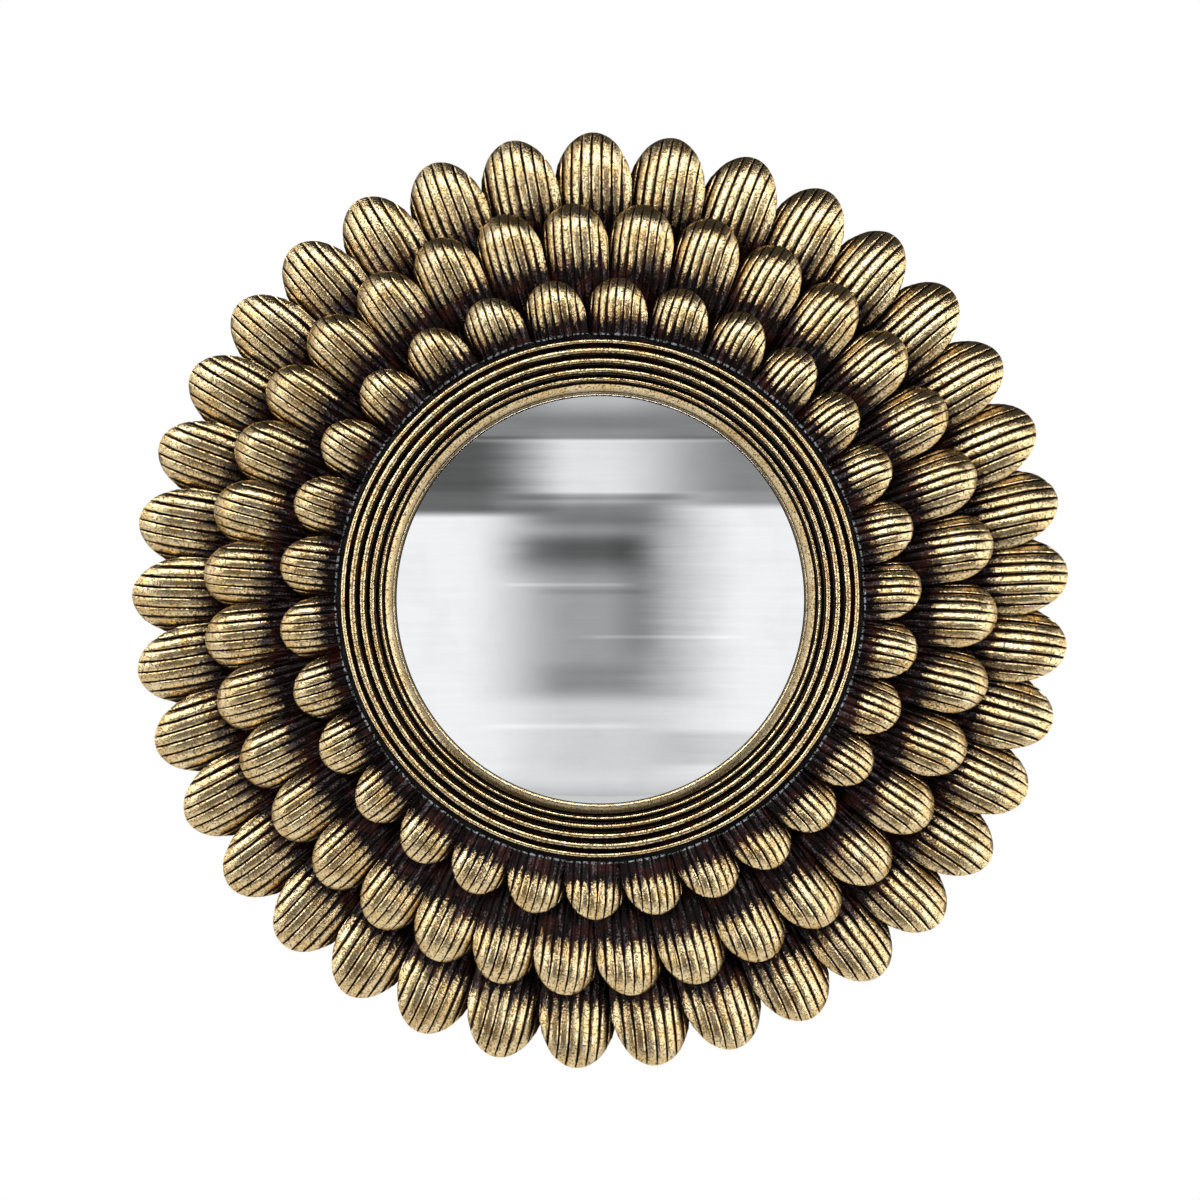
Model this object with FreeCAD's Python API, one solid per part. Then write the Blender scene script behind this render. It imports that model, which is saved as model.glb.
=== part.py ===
import FreeCAD, Part
import math
import os

# A round convex wall mirror. Three rows of petals, gilded and worn, overlap like shingles around a
# reeded ring, on a core of three stacked wooden rings. The glass is held from behind.
#
# Millimetres. The mirror is modelled lying on its back: the wall plane is z = 0, the front faces +z
# and the top of the mirror points along +y. Heights are measured from the wall. Clock angles run
# clockwise from the top, as seen from the front. The last step stands the mirror up: it then faces
# -Y, its top is +Z, the wall plane is y = 0 and the origin is the centre of that plane.

# --- Driving dimensions ---------------------------------------------------------------------------

# Glass: a shell bent to a sphere.
sight_radius = 75.2          # radius of the glass that shows
glass_lap = 5.3              # glass hidden behind the slip
glass_thickness = 3.0
glass_rise = 12.0            # rise of the front surface over the glass's own radius
glass_play = 0.5             # radial play in its well

# Slip: the smooth inner lip in front of the glass.
slip_width = 2.7
slip_flange_width = 5.8
slip_flange_thickness = 2.0
slip_lip_height = 4.6        # outer edge of the lip over the flange's back
slip_nose_height = 2.2       # inner edge of the lip over the flange's back
slip_crown = 0.54            # rounding of the lip's face, over a straight slope
slip_play = 0.3

# Reeded ring: five beads that step down towards the glass, listed from the outside in.
bead_widths = (2.3, 3.3, 2.9, 2.8, 2.0)
bead_groove = 0.45
bead_depth = 1.0             # crest over its own feet
ring_crest_height = 14.0     # outer bead's crest over the ring's seat
ring_fall = 0.52             # each bead's crest drops by this times its number squared
ring_gap = 0.4               # dark line between the slip and the innermost bead
ring_play = 0.3

# Core rings, from the wall forwards.
felt_thickness = 1.5
base_thickness = 5.0
middle_thickness = 9.5
top_thickness = 9.0
slip_seat_rise = 1.2         # slip's seat over the middle ring
petal_foot = 1.0             # bare core between the ring and the first petals

# Petal rows. The show is how far a row's tips reach past the row or ring inside it.
inner_count = 30
inner_show = 21.1
inner_half_width = 11.0
inner_crown = 5.5
inner_lift = 3.0
inner_tilt_angle = 10.0
inner_overhang = 12.5

middle_count = 35
middle_show = 27.9
middle_half_width = 12.0
middle_crown = 6.2
middle_lift = 3.5
middle_tilt_angle = 6.0
middle_overhang = 11.4

outer_count = 37
outer_show = 26.6
outer_half_width = 14.0
outer_crown = 6.5
outer_lift = 4.0
outer_tilt_angle = 6.0
outer_overhang = 16.0

petal_roll_angle = 8.0       # degrees; the clockwise edge stands up over the next petal
petal_taper_run = 300.0      # distance behind the tip's centre at which the sides would meet

# Hand-set petals aren't even. In each row the first tip stands at its own clock angle, the petals
# sway towards one side and, in the outer row, bunch towards two.
inner_first_angle = 2.1
inner_sway_angle = 2.4
inner_sway_peak_angle = 60.0
inner_bunch_angle = 0.0
inner_bunch_peak_angle = 0.0
middle_first_angle = 8.3
middle_sway_angle = 2.8
middle_sway_peak_angle = 140.0
middle_bunch_angle = 0.0
middle_bunch_peak_angle = 0.0
outer_first_angle = 8.3
outer_sway_angle = 0.7
outer_sway_peak_angle = 45.0
outer_bunch_angle = 1.0
outer_bunch_peak_angle = 45.0

# Glass packing, back board and its turn buttons.
gasket_width = 3.0
gasket_thickness = 1.0       # at its inner edge, where the glass stands highest
packing_width = 5.5
packing_relief = 0.1         # its front stays this far behind the glass
board_thickness = 2.8
board_lap = 6.0              # board over the middle ring, past the glass well
board_play = 0.3
button_well_width = 8.7      # ledge around the board for the turn buttons
button_count = 4
button_first_angle = 45.0
button_radius = 3.0
button_reach = 7.5           # from the screw to the centre of the rounded end
button_thickness = 1.2
button_screw_inset = 5.0     # screw in from the well's wall
pivot_clearance = 0.06       # radial, between a screw and the button that turns on it

# Screws.
screw_radius = 1.2
screw_length = 9.0
screw_head_radius = 2.3
screw_head_thickness = 1.1
screw_slot_width = 0.6
screw_slot_depth = 0.5
washer_thickness = 0.5
washer_radius = 2.7

# Hanger: a strap screwed to the middle ring, with a loose D-shaped ring in its eye.
strap_width = 10.0
strap_thickness = 1.0
strap_end_gap = 4.4          # plate below its screw
wire_radius = 1.2
eye_wall = 0.8
eye_clearance = 0.05
wire_stand = 0.3             # ring's wire off the strap's face
hanger_half_width = 9.0
hanger_corner = 2.5
hanger_leg = 1.5
bow_to_screw = 0.5           # ring's bow to the screw's head, when it hangs
window_bridge = 4.0          # base ring left between the buttons' well and the hanger's window
window_side_room = 3.0
window_bottom_room = 1.6
window_top_room = 3.8

# Felt on the back.
felt_width = 52.0
felt_inset = 3.0             # felt in from the base ring's edge

# --- Sizes and heights that follow ------------------------------------------------------------------

glass_radius = sight_radius + glass_lap
sphere_radius = (glass_radius ** 2 + glass_rise ** 2) / (2 * glass_rise)
well_radius = glass_radius + glass_play

slip_outer = sight_radius + slip_width
flange_outer = slip_outer + slip_flange_width
ring_inner = slip_outer + ring_gap
ring_outer = ring_inner + sum(bead_widths) + bead_groove * (len(bead_widths) - 1)

inner_root = ring_outer + petal_foot
inner_tip = inner_root + inner_show
middle_tip = inner_tip + middle_show
outer_tip = middle_tip + outer_show
top_outer = inner_tip - inner_overhang
middle_outer = middle_tip - middle_overhang
base_outer = outer_tip - outer_overhang

base_back = felt_thickness
base_top = base_back + base_thickness
middle_top = base_top + middle_thickness
top_top = middle_top + top_thickness
slip_seat = middle_top + slip_seat_rise
ring_seat = slip_seat + slip_flange_thickness

board_radius = well_radius + board_lap
board_hole = board_radius + board_play
board_back = base_top - board_thickness
button_well = board_hole + button_well_width
button_screw_radius = button_well - button_screw_inset
button_back = board_back - button_thickness
washer_back = button_back - washer_thickness

gasket_inner = glass_radius - gasket_width
sphere_centre = slip_seat - gasket_thickness - math.sqrt(sphere_radius ** 2 - gasket_inner ** 2)

strap_face = base_top - strap_thickness
pivot_height = strap_face - wire_stand - wire_radius
hanger_depth = hanger_corner + hanger_leg + hanger_half_width
window_bottom = button_well + window_bridge
strap_bottom = window_bottom + window_bottom_room
strap_screw_radius = strap_bottom + strap_end_gap
bow_bottom = strap_screw_radius + screw_head_radius + bow_to_screw
hanger_pivot_radius = bow_bottom + wire_radius + hanger_depth
window_top = hanger_pivot_radius + hanger_depth + wire_radius + window_top_room
window_half_width = hanger_half_width + wire_radius + window_side_room

felt_outer = base_outer - felt_inset
felt_inner = felt_outer - felt_width

ORIGIN = FreeCAD.Vector(0, 0, 0)
FORWARD = FreeCAD.Vector(0, 0, 1)
SIDEWAYS = FreeCAD.Vector(1, 0, 0)
UPWARD = FreeCAD.Vector(0, 1, 0)
TURN = 360
HALF_TURN = 180
SPARE = 10.0                 # how far a cutting tool runs past what it cuts


# --- Helpers ------------------------------------------------------------------------------------------

def line(start, end):
    """A straight edge."""
    return Part.LineSegment(start, end).toShape()


def arc(start, through, end):
    """A circular edge through three points."""
    return Part.Arc(start, through, end).toShape()


def turned(edges):
    """The solid made by turning a closed outline in the plane y = 0 about the mirror's axis."""
    return Part.Face(Part.Wire(edges)).revolve(ORIGIN, FORWARD, TURN)


def in_section(radius, height):
    """A point of a turned outline."""
    return FreeCAD.Vector(radius, 0, height)


def turned_polygon(corners):
    """A turned solid whose outline is straight lines between (radius, height) corners."""
    points = [in_section(radius, height) for radius, height in corners]
    return turned([line(a, b) for a, b in zip(points, points[1:] + points[:1])])


def flat_ring(inner, outer, bottom, top):
    """A plain ring between two heights."""
    return turned_polygon([(inner, bottom), (outer, bottom), (outer, top), (inner, top)])


def clocked(shape, angle):
    """A copy of a shape that stands at the top, turned to a clock angle."""
    copy = shape.copy()
    copy.rotate(ORIGIN, FORWARD, -angle)
    return copy


def at_radius(radius, height):
    """A point at the top of the mirror, at this distance from its axis."""
    return FreeCAD.Vector(0, radius, height)


def export(name, shape):
    """Stand the finished piece up and write it under its node's name."""
    standing = shape.copy()
    standing.rotate(ORIGIN, SIDEWAYS, TURN / 4)
    standing.exportStep("parts/" + name + ".step")


# --- Petals -------------------------------------------------------------------------------------------

def petal_body(half_width, crown, reach):
    """A ball at the tip and the cone that runs back from it, about one dipping axis.

    The seat plane z = 0 passes through the cone's apex, so it cuts the body in an outline of a
    round tip of the given half width and two straight sides. The crown stands over that plane.
    """
    ball = (half_width ** 2 + crown ** 2) / (2 * crown)
    sink = ball - crown
    apex = FreeCAD.Vector(0, -petal_taper_run, 0)
    length = math.hypot(petal_taper_run, sink)
    along = FreeCAD.Vector(0, petal_taper_run, -sink) / length
    across = FreeCAD.Vector(0, sink, petal_taper_run) / length
    cone_angle = math.asin(ball / length)
    centre = apex + along * length
    back = petal_taper_run - reach
    arc_middle = (math.pi / 2 + cone_angle) / 2
    on_axis = apex + along * back
    back_rim = on_axis + across * (back * math.tan(cone_angle))
    touching = centre + (across * math.cos(cone_angle) - along * math.sin(cone_angle)) * ball
    bulge = centre + (along * math.cos(arc_middle) + across * math.sin(arc_middle)) * ball
    nose = centre + along * ball
    edges = [
        line(on_axis, back_rim),
        line(back_rim, touching),
        arc(touching, bulge, nose),
        line(nose, on_axis),
    ]
    return Part.Face(Part.Wire(edges)).revolve(apex, along, TURN)


def petal_outline(half_width, reach):
    """The petal's outline in its seat plane, as a face."""
    side_angle = math.asin(half_width / petal_taper_run)
    tangent_x = half_width * math.cos(side_angle)
    tangent_y = -half_width * math.sin(side_angle)
    back_x = (petal_taper_run - reach) * math.tan(side_angle)
    left_back = FreeCAD.Vector(-back_x, -reach, 0)
    right_back = FreeCAD.Vector(back_x, -reach, 0)
    left = FreeCAD.Vector(-tangent_x, tangent_y, 0)
    right = FreeCAD.Vector(tangent_x, tangent_y, 0)
    tip = FreeCAD.Vector(0, half_width, 0)
    edges = [
        line(left_back, left),
        arc(left, tip, right),
        line(right, right_back),
        line(right_back, left_back),
    ]
    return Part.Face(Part.Wire(edges))


def whole_petal(tip_radius, root_radius, seat, half_width, crown, lift, tilt):
    """One petal at the top of the mirror, before the petal that lies over it is cut away.

    It stands on the core at the height of its seat, from the root radius outwards. Its tip is
    tilted forwards, and its clockwise edge is rolled forwards, over the next petal.
    """
    centre_radius = tip_radius - half_width * math.cos(math.radians(tilt))
    reach = centre_radius - root_radius + SPARE
    pitch_up = FreeCAD.Rotation(SIDEWAYS, tilt)
    roll_up = FreeCAD.Rotation(UPWARD, -petal_roll_angle)
    place = FreeCAD.Placement(at_radius(centre_radius, seat + lift), pitch_up.multiply(roll_up))
    body = petal_body(half_width, crown, reach)
    body.Placement = place
    outline = petal_outline(half_width, reach)
    outline.Placement = place
    height = lift + crown + half_width
    outline.translate(FORWARD * -height)
    walls = outline.extrude(FORWARD * (2 * height))
    stand = flat_ring(root_radius, tip_radius + SPARE, seat, seat + 2 * height)
    return body.common(walls).common(stand)


def tip_angles(count, first, sway, sway_peak, bunch, bunch_peak):
    """The clock angles of a row's tips, with the row's unevenness."""
    even = [first + TURN / count * number for number in range(count)]
    return [
        angle
        + sway * math.cos(math.radians(angle - sway_peak))
        + bunch * math.cos(math.radians(2 * (angle - bunch_peak)))
        for angle in even
    ]


def petal_row(petal, angles):
    """A row of separate petals, each tucked under the one before it."""
    petals = []
    for number, angle in enumerate(angles):
        over = clocked(petal, angles[number - 1])
        under = clocked(petal, angle).cut(over)
        petals.append(max(under.Solids, key=lambda solid: solid.Volume))
    return Part.makeCompound(petals)


# --- Ring, slip and glass -----------------------------------------------------------------------------

def reeded_ring():
    """The ring of beads: each an arc between its two feet, stepping down towards the glass."""
    edges = []
    outer_foot = None
    radius = ring_outer
    for number, width in enumerate(bead_widths):
        crest = ring_seat + ring_crest_height - ring_fall * number ** 2
        outside = in_section(radius, crest - bead_depth)
        top = in_section(radius - width / 2, crest)
        inside = in_section(radius - width, crest - bead_depth)
        if outer_foot:
            floor = min(outer_foot.z, outside.z) - bead_groove
            left_floor = in_section(outer_foot.x, floor)
            right_floor = in_section(outside.x, floor)
            edges += [line(outer_foot, left_floor), line(left_floor, right_floor)]
            edges.append(line(right_floor, outside))
        else:
            first_foot = outside
        edges.append(arc(outside, top, inside))
        outer_foot = inside
        radius -= width + bead_groove
    inner_bottom = in_section(outer_foot.x, ring_seat)
    outer_bottom = in_section(ring_outer, ring_seat)
    edges += [line(outer_foot, inner_bottom), line(inner_bottom, outer_bottom)]
    edges.append(line(outer_bottom, first_foot))
    return turned(edges)


def glass_slip():
    """The lip that frames the glass, with a flange held under the reeded ring."""
    lip_rise = slip_lip_height - slip_nose_height
    slope = math.hypot(slip_width, lip_rise)
    corners = [
        (sight_radius, slip_seat),
        (flange_outer, slip_seat),
        (flange_outer, ring_seat),
        (slip_outer, ring_seat),
        (slip_outer, slip_seat + slip_lip_height),
    ]
    points = [in_section(radius, height) for radius, height in corners]
    nose = in_section(sight_radius, slip_seat + slip_nose_height)
    straight_middle = (points[-1] + nose) / 2
    crown = straight_middle + in_section(-lip_rise, slip_width) * (slip_crown / slope)
    edges = [line(a, b) for a, b in zip(points, points[1:])]
    edges.append(arc(points[-1], crown, nose))
    edges.append(line(nose, points[0]))
    return turned(edges)


def on_glass(radius, depth):
    """A point on the glass's front, or on the sphere that lies this deep behind it."""
    return in_section(radius, sphere_centre + math.sqrt((sphere_radius - depth) ** 2 - radius ** 2))


def mirror_glass():
    """The convex glass: a part of a spherical shell with a square-cut edge."""
    front_pole = on_glass(0, 0)
    back_pole = on_glass(0, glass_thickness)
    front_edge = on_glass(glass_radius, 0)
    back_edge = on_glass(glass_radius, glass_thickness)
    return turned([
        line(back_pole, front_pole),
        arc(front_pole, on_glass(glass_radius / 2, 0), front_edge),
        line(front_edge, back_edge),
        arc(back_edge, on_glass(glass_radius / 2, glass_thickness), back_pole),
    ])


def glass_gasket():
    """The soft ring between the glass's front edge and the back of the slip."""
    middle = (gasket_inner + glass_radius) / 2
    inner_top = in_section(gasket_inner, slip_seat)
    outer_top = in_section(glass_radius, slip_seat)
    return turned([
        line(inner_top, outer_top),
        line(outer_top, on_glass(glass_radius, 0)),
        arc(on_glass(glass_radius, 0), on_glass(middle, 0), on_glass(gasket_inner, 0)),
        line(on_glass(gasket_inner, 0), inner_top),
    ])


def packing_ring():
    """The ring between the back board and the glass's back edge, which keeps the glass forward."""
    depth = glass_thickness + packing_relief
    inner = glass_radius - packing_width
    middle = inner + packing_width / 2
    inner_bottom = in_section(inner, base_top)
    outer_bottom = in_section(glass_radius, base_top)
    return turned([
        line(inner_bottom, outer_bottom),
        line(outer_bottom, on_glass(glass_radius, depth)),
        arc(on_glass(glass_radius, depth), on_glass(middle, depth), on_glass(inner, depth)),
        line(on_glass(inner, depth), inner_bottom),
    ])


# --- Fasteners ----------------------------------------------------------------------------------------

def screw(under_head):
    """A slotted screw at the origin's axis, driven forwards, with its head's seat at this height."""
    seat = at_radius(0, under_head)
    shank = Part.makeCylinder(screw_radius, screw_length, seat)
    head_seat = at_radius(0, under_head - screw_head_thickness)
    head = Part.makeCylinder(screw_head_radius, screw_head_thickness, head_seat)
    slot = Part.makeBox(2 * screw_head_radius, screw_slot_width, screw_slot_depth)
    slot.translate(head_seat - FreeCAD.Vector(screw_head_radius, screw_slot_width / 2, 0))
    return head.cut(slot).fuse(shank)


def screw_hole(radius, under_head):
    """What a screw at the top of the mirror takes out of the wood."""
    return Part.makeCylinder(screw_radius, screw_length, at_radius(radius, under_head))


def button_angles():
    """The clock angles of the turn buttons."""
    return [button_first_angle + TURN / button_count * number for number in range(button_count)]


def button_screws():
    """One screw through each turn button."""
    one = screw(washer_back)
    one.translate(UPWARD * button_screw_radius)
    return Part.makeCompound([clocked(one, angle) for angle in button_angles()])


def button_washers():
    """One washer under each turn button's screw head."""
    seat = at_radius(button_screw_radius, washer_back)
    disc = Part.makeCylinder(washer_radius, washer_thickness, seat)
    hole = Part.makeCylinder(screw_radius, washer_thickness, seat)
    one = disc.cut(hole)
    return Part.makeCompound([clocked(one, angle) for angle in button_angles()])


def turn_button():
    """A bar with rounded ends that turns on its screw and laps over the back board."""
    seat = at_radius(button_screw_radius, button_back)
    tip = at_radius(button_screw_radius - button_reach, button_back)
    bar = Part.makeBox(2 * button_radius, button_reach, button_thickness)
    bar.translate(tip - SIDEWAYS * button_radius)
    ends = [Part.makeCylinder(button_radius, button_thickness, end) for end in (seat, tip)]
    hole = Part.makeCylinder(screw_radius + pivot_clearance, button_thickness, seat)
    return bar.fuse(ends).removeSplitter().cut(hole)


# --- Hanger -------------------------------------------------------------------------------------------

def hanger_strap():
    """A plate with a rounded foot, rolled into an eye around the ring's bar."""
    half = strap_width / 2
    foot = strap_bottom + half
    plate = Part.makeBox(strap_width, hanger_pivot_radius - foot, strap_thickness)
    plate.translate(FreeCAD.Vector(-half, foot, strap_face))
    round_foot = Part.makeCylinder(half, strap_thickness, at_radius(foot, strap_face))
    eye_start = FreeCAD.Vector(-half, hanger_pivot_radius, pivot_height)
    barrel_radius = wire_radius + eye_clearance + eye_wall
    barrel = Part.makeCylinder(barrel_radius, strap_width, eye_start, SIDEWAYS)
    neck = Part.makeBox(strap_width, barrel_radius, strap_face + strap_thickness - pivot_height)
    neck.translate(eye_start - UPWARD * barrel_radius)
    bore = Part.makeCylinder(wire_radius + eye_clearance, strap_width, eye_start, SIDEWAYS)
    hole = Part.makeCylinder(screw_radius, strap_thickness, at_radius(strap_screw_radius, strap_face))
    return plate.fuse([round_foot, barrel, neck]).removeSplitter().cut(bore).cut(hole)


def bent_wire(centre, radius, start, sweep):
    """A bend of round wire in the plane of the wall, from a start angle through a sweep."""
    bend = Part.makeTorus(radius, wire_radius, ORIGIN, FORWARD, -HALF_TURN, HALF_TURN, sweep)
    bend.rotate(ORIGIN, FORWARD, start)
    bend.translate(centre)
    return bend


def hanger_ring():
    """The loose ring of the hanger: a straight bar in the eye, two legs and a round bow."""
    bar_half = hanger_half_width - hanger_corner
    corner_y = hanger_pivot_radius - hanger_corner
    bow_y = corner_y - hanger_leg
    bar_start = FreeCAD.Vector(-bar_half, hanger_pivot_radius, pivot_height)
    pieces = [Part.makeCylinder(wire_radius, 2 * bar_half, bar_start, SIDEWAYS)]
    for side, start in ((1, 0), (-1, TURN / 4)):
        corner = FreeCAD.Vector(side * bar_half, corner_y, pivot_height)
        pieces.append(bent_wire(corner, hanger_corner, start, TURN / 4))
        leg_foot = FreeCAD.Vector(side * hanger_half_width, bow_y, pivot_height)
        pieces.append(Part.makeCylinder(wire_radius, hanger_leg, leg_foot, UPWARD))
    bow = FreeCAD.Vector(0, bow_y, pivot_height)
    pieces.append(bent_wire(bow, hanger_half_width, HALF_TURN, HALF_TURN))
    return pieces[0].fuse(pieces[1:])


def hanger_screw():
    """The screw that holds the strap to the middle ring."""
    one = screw(strap_face)
    one.translate(UPWARD * strap_screw_radius)
    return one


# --- Core and back ------------------------------------------------------------------------------------

def hanger_window(bottom, top):
    """The opening for the hanger, between two heights."""
    window = Part.makeBox(2 * window_half_width, window_top - window_bottom, top - bottom)
    window.translate(FreeCAD.Vector(-window_half_width, window_bottom, bottom))
    return window


def base_ring():
    """The ring next to the wall, with the board's recess, the buttons' well and the window."""
    ring = turned_polygon([
        (button_well, base_back),
        (base_outer, base_back),
        (base_outer, base_top),
        (board_hole, base_top),
        (board_hole, board_back),
        (button_well, board_back),
    ])
    ring = ring.cut(hanger_window(base_back - SPARE, base_top + SPARE))
    hole = screw_hole(button_screw_radius, washer_back)
    return ring.cut([clocked(hole, angle) for angle in button_angles()])


def middle_ring():
    """The core's middle ring, drilled for the screws of the buttons and the hanger."""
    ring = flat_ring(well_radius, middle_outer, base_top, middle_top)
    hole = screw_hole(button_screw_radius, washer_back)
    holes = [clocked(hole, angle) for angle in button_angles()]
    return ring.cut(holes + [screw_hole(strap_screw_radius, strap_face)])


def top_ring():
    """The core's top ring, with seats for the reeded ring and the slip's flange."""
    return turned_polygon([
        (well_radius, middle_top),
        (top_outer, middle_top),
        (top_outer, top_top),
        (ring_outer + ring_play, top_top),
        (ring_outer + ring_play, ring_seat),
        (flange_outer + slip_play, ring_seat),
        (flange_outer + slip_play, slip_seat),
        (well_radius, slip_seat),
    ])


def back_felt():
    """The felt glued to the base ring, with the hanger's window cut through it."""
    return flat_ring(felt_inner, felt_outer, 0, base_back).cut(hanger_window(-SPARE, base_back + SPARE))


def back_board():
    """The board that closes the back of the glass well."""
    return Part.makeCylinder(board_radius, board_thickness, at_radius(0, board_back))


# --- Write the pieces ---------------------------------------------------------------------------------

os.makedirs("parts", exist_ok=True)

export("back_felt", back_felt())
export("base_ring", base_ring())
export("middle_ring", middle_ring())
export("top_ring", top_ring())
export("reeded_ring", reeded_ring())
export("glass_slip", glass_slip())
export("glass_gasket", glass_gasket())
export("mirror_glass", mirror_glass())
export("packing_ring", packing_ring())
export("back_board", back_board())
export("button_screws", button_screws())
export("button_washers", button_washers())
export("hanger_strap", hanger_strap())
export("hanger_ring", hanger_ring())
export("hanger_screw", hanger_screw())

for number, angle in enumerate(button_angles()):
    export("turn_button_" + str(number + 1), clocked(turn_button(), angle))

inner_petal = whole_petal(
    inner_tip, inner_root, top_top, inner_half_width, inner_crown, inner_lift, inner_tilt_angle
)
middle_petal = whole_petal(
    middle_tip, top_outer, middle_top, middle_half_width, middle_crown, middle_lift, middle_tilt_angle
)
outer_petal = whole_petal(
    outer_tip, middle_outer, base_top, outer_half_width, outer_crown, outer_lift, outer_tilt_angle
)
inner_angles = tip_angles(
    inner_count,
    inner_first_angle,
    inner_sway_angle,
    inner_sway_peak_angle,
    inner_bunch_angle,
    inner_bunch_peak_angle,
)
middle_angles = tip_angles(
    middle_count,
    middle_first_angle,
    middle_sway_angle,
    middle_sway_peak_angle,
    middle_bunch_angle,
    middle_bunch_peak_angle,
)
outer_angles = tip_angles(
    outer_count,
    outer_first_angle,
    outer_sway_angle,
    outer_sway_peak_angle,
    outer_bunch_angle,
    outer_bunch_peak_angle,
)
export("inner_petals", petal_row(inner_petal, inner_angles))
export("middle_petals", petal_row(middle_petal, middle_angles))
export("outer_petals", petal_row(outer_petal, outer_angles))
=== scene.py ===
# %% [markdown]
# # A convex wall mirror in a gilt petal frame
#
# This lesson builds the looks of a round wall mirror: three rows of fluted petals overlap like
# shingles around a reeded ring, and a smooth slip holds the convex glass. The petals are cast, coated
# with near-black lacquer and gilded by hand, so that the gold stays on the ridges and tips and the
# lacquer shows in the grooves and at the roots.
#
# Everything below is in metres in that same frame: X to the right, Z up, and the mirror faces -Y.

import math
import random

import bmesh
import bpy
from mathutils import Matrix, Vector


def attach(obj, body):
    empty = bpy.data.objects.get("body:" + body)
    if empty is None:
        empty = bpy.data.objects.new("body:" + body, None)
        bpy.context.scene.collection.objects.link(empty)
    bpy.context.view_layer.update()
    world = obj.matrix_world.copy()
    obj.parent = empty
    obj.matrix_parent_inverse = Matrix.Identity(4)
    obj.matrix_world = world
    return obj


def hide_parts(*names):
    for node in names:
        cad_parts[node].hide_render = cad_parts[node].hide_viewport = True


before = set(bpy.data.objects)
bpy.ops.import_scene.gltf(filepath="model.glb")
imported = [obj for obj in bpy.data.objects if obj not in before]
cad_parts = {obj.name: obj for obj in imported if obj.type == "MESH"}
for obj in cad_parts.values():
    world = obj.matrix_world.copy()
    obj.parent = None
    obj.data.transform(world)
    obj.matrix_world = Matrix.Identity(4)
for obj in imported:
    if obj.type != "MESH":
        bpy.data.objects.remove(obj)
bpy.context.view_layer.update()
print("the frame has", len(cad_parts), "nodes")

# %% [markdown]
# ## Working habits
#
# Operators act on whatever is selected, so each step starts with nothing selected. In edit mode we
# pick points in code, by where they are, as one would by hand with box select. Real sizes are written
# in millimetres and turned to metres with `MM`.

# %% Small tools
MM = 0.001
CAD_FRAME = Matrix.Rotation(math.radians(90), 4, "X")   # lying on its back -> hanging on the wall


def clear_selection():
    """Leave edit mode with nothing selected."""
    if bpy.context.mode != "OBJECT":
        bpy.ops.object.mode_set(mode="OBJECT")
    bpy.ops.object.select_all(action="DESELECT")


def edit(piece):
    """Open one piece in edit mode with all of it selected."""
    clear_selection()
    piece.select_set(True)
    bpy.context.view_layer.objects.active = piece
    bpy.ops.object.mode_set(mode="EDIT")
    bpy.ops.mesh.select_mode(type="VERT")
    bpy.ops.mesh.select_all(action="SELECT")


def pick(piece, wanted):
    """In edit mode, select just the points that pass a test of their place."""
    bpy.ops.mesh.select_all(action="DESELECT")
    mesh = bmesh.from_edit_mesh(piece.data)
    for point in mesh.verts:
        point.select = wanted(point.co)
    mesh.select_flush(True)
    bmesh.update_edit_mesh(piece.data)


def single_point(name, place):
    """A mesh of one point: a plane whose corners are merged."""
    clear_selection()
    bpy.ops.mesh.primitive_plane_add(size=MM, location=place)
    piece = bpy.context.object
    piece.name = name
    bpy.ops.object.transform_apply(location=True)
    edit(piece)
    bpy.ops.mesh.merge(type="CENTER")
    return piece


def settle(piece, matrix):
    """Turn and move a piece, and put the move into its mesh."""
    clear_selection()
    piece.matrix_world = matrix
    piece.select_set(True)
    bpy.context.view_layer.objects.active = piece
    bpy.ops.object.transform_apply(location=True, rotation=True, scale=True)


def smooth_by_angle(piece, degrees):
    """Shade smooth, but keep corners sharper than the angle."""
    clear_selection()
    piece.select_set(True)
    bpy.context.view_layer.objects.active = piece
    bpy.ops.object.shade_smooth_by_angle(angle=math.radians(degrees))


def triangles(piece):
    """How many triangles the piece's mesh has."""
    return sum(len(face.vertices) - 2 for face in piece.data.polygons)


def smoothstep(low, high, value):
    """0 below low, 1 above high and a soft step between."""
    t = min(max((value - low) / (high - low), 0.0), 1.0)
    return t * t * (3 - 2 * t)


# %% [markdown]
# ## The camera
#
# The photograph is square and was taken almost straight on, from a touch below, and from far enough
# away that the petals hardly change size from the wall side to the front. A long lens at 1.6 m gives
# that. The target is a point near the axis, in the plane of the outer tips.

# %% Camera
CAMERA_DISTANCE = 1.6
CAMERA_ELEVATION = math.radians(-1.6)
CAMERA_AZIMUTH = math.radians(0.3)
FRAME_WIDTH = 1200 * 0.3636 * MM        # the picture's 1200 pixels at the outer tips' plane
SENSOR_WIDTH = 36.0
AIM = Vector((-0.0001, -0.010, -0.0002))

clear_selection()
towards_camera = Vector((
    math.sin(CAMERA_AZIMUTH) * math.cos(CAMERA_ELEVATION),
    -math.cos(CAMERA_AZIMUTH) * math.cos(CAMERA_ELEVATION),
    math.sin(CAMERA_ELEVATION),
))
bpy.ops.object.camera_add(location=AIM + towards_camera * CAMERA_DISTANCE)
camera = bpy.context.object
camera.name = "camera"
camera.rotation_euler = towards_camera.to_track_quat("Z", "Y").to_euler()
camera.data.sensor_width = SENSOR_WIDTH
camera.data.lens = SENSOR_WIDTH * CAMERA_DISTANCE / FRAME_WIDTH
camera.data.clip_end = 50
bpy.context.scene.camera = camera
print("lens", round(camera.data.lens, 1), "mm")

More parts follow.
